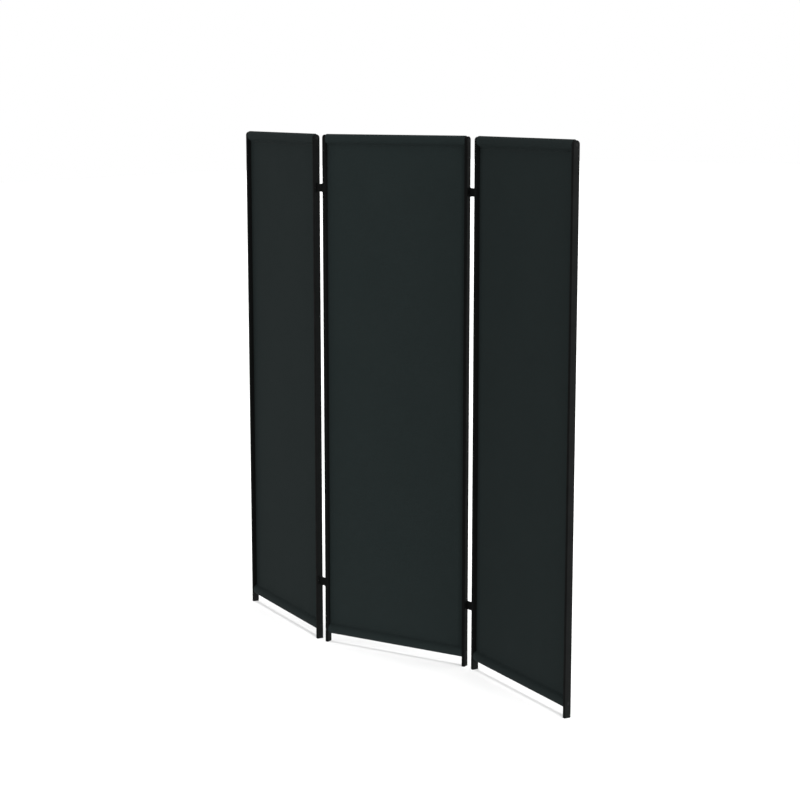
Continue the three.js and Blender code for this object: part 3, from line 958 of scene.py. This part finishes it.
# the frame's own pieces that stay as they are: rails and bolts
for name, node in frame["nodes"].items():
    for ending, material in (("_rail", steelCoat), ("_rail_bolt", zinc)):
        if name.endswith(ending):
            node.data.materials.clear()
            node.data.materials.append(material)


# camera, floor and light
camera = {
    "azimuth": 31.10,
    "distance": 6.250,  # from the middle panel, along the floor
    "sideStep": 0.018,
    "height": 1.978,
    "pitch": 9.56,
    "lens": 81.0,
}


# eye = back along the azimuth * distance + a step to the right + height, looking down by the pitch
def makeCamera():
    turn = math.radians(camera["azimuth"])
    back = Vector((math.sin(turn), -math.cos(turn), 0))
    right = Vector((math.cos(turn), math.sin(turn), 0))
    data = bpy.data.cameras.new("camera")
    data.lens = camera["lens"]
    data.sensor_width = 36
    eye = bpy.data.objects.new("camera", data)
    eye.location = back * camera["distance"] + right * camera["sideStep"] + Vector((0, 0, camera["height"]))
    eye.rotation_euler = (math.radians(90 - camera["pitch"]), 0, turn)
    scene.collection.objects.link(eye)
    scene.camera = eye


studio = {
    "backdrop": 1.0,  # what the camera sees behind the object
    # big soft panels around the object: the way to each one's middle, and its brightness there
    "panels": (
        ((1, 0, 0), 3.4),
        ((-1, 0, 0), 0.9),
        ((0, -1, 0), 0.42),
        ((0, 0, 1), 0.62),
        ((0, 0, -1), 0.55),
        ((0, 1, 0), 0.15),
    ),
    "sun": 3.4,  # lights only the floor, and so draws the narrow shadow under each panel
    "sunSize": 26,  # degrees across, for soft shadow edges
    "side": 52,  # a square softbox, in watts
    "sidePlace": (5.0, -2.6, 1.6),
    "sideSize": 2.4,
    "aim": (0, 0, 0.9),
    "floorLow": (-26, -3.2),
    "floorHigh": (26, 46),
    "floorGlow": 0.29,  # lit from below, like a light table
}


# a square area lamp that points at the middle of the object
def addSoftbox():
    data = bpy.data.lights.new("side softbox", "AREA")
    data.shape = "SQUARE"
    data.size = studio["sideSize"]
    data.energy = studio["side"]
    lamp = bpy.data.objects.new("side softbox", data)
    lamp.location = studio["sidePlace"]
    aim = Vector(studio["aim"]) - lamp.location
    lamp.rotation_euler = aim.to_track_quat("-Z", "Y").to_euler()
    scene.collection.objects.link(lamp)


# distant light straight down, on the floor alone
def addSun(floor):
    data = bpy.data.lights.new("overhead", "SUN")
    data.energy = studio["sun"]
    data.angle = math.radians(studio["sunSize"])
    lamp = bpy.data.objects.new("overhead", data)
    scene.collection.objects.link(lamp)
    lamp.light_linking.receiver_collection = bpy.data.collections.new("lit from overhead")
    lamp.light_linking.receiver_collection.objects.link(floor)


# light from a direction d = the sum over the panels of brightness * max(0, d . middle) ^ 2
def makeWorld():
    world = bpy.data.worlds.new("studio")
    scene.world = world
    world.use_nodes = True
    tree = world.node_tree
    tree.nodes.clear()
    direction = addNode(tree, "TexCoord", output="Generated")
    lit = 0.0
    for middle, brightness in studio["panels"]:
        dot = addNode(tree, "VectorMath", {"operation": "DOT_PRODUCT"}, [direction, middle], "Value")
        facing = addNode(tree, "Math", largest, [dot, 0.0])
        square = addNode(tree, "Math", multiply, [facing, facing])
        lit = addNode(tree, "Math", {"operation": "MULTIPLY_ADD"}, [square, brightness, lit])
    seen = addNode(tree, "LightPath", output="Is Camera Ray")
    strength = addNode(tree, "Mix", {}, {"Factor": seen, 2: lit, 3: studio["backdrop"]})
    sky = addNode(tree, "Background", {}, {"Color": linearColour("#ffffff"), "Strength": strength})
    addNode(tree, "OutputWorld", {}, [sky])


# a level floor at z = 0 that glows and throws no light back up
def makeFloor():
    (x0, y0), (x1, y1) = studio["floorLow"], studio["floorHigh"]
    corners = np.array([(x0, y0, 0), (x1, y0, 0), (x1, y1, 0), (x0, y1, 0)], float)
    floor = bpy.data.objects.new("floor", newMesh((corners, [[0, 1, 2, 3]]), outward=False))
    material, tree = newMaterial("studio floor")
    finish = {"Roughness": 0.9, "Specular IOR Level": 0.05, "Base Color": linearColour("#cccccc")}
    finish |= {"Emission Color": linearColour("#ffffff"), "Emission Strength": studio["floorGlow"]}
    addNode(tree, "OutputMaterial", {}, [addNode(tree, "BsdfPrincipled", {}, finish)])
    floor.data.materials.append(material)
    floor.visible_diffuse = floor.visible_glossy = floor.visible_shadow = False
    scene.collection.objects.link(floor)
    return floor


makeCamera()
makeWorld()
addSoftbox()
addSun(makeFloor())
scene.view_settings.view_transform = "Standard"
print("camera, floor and light made")
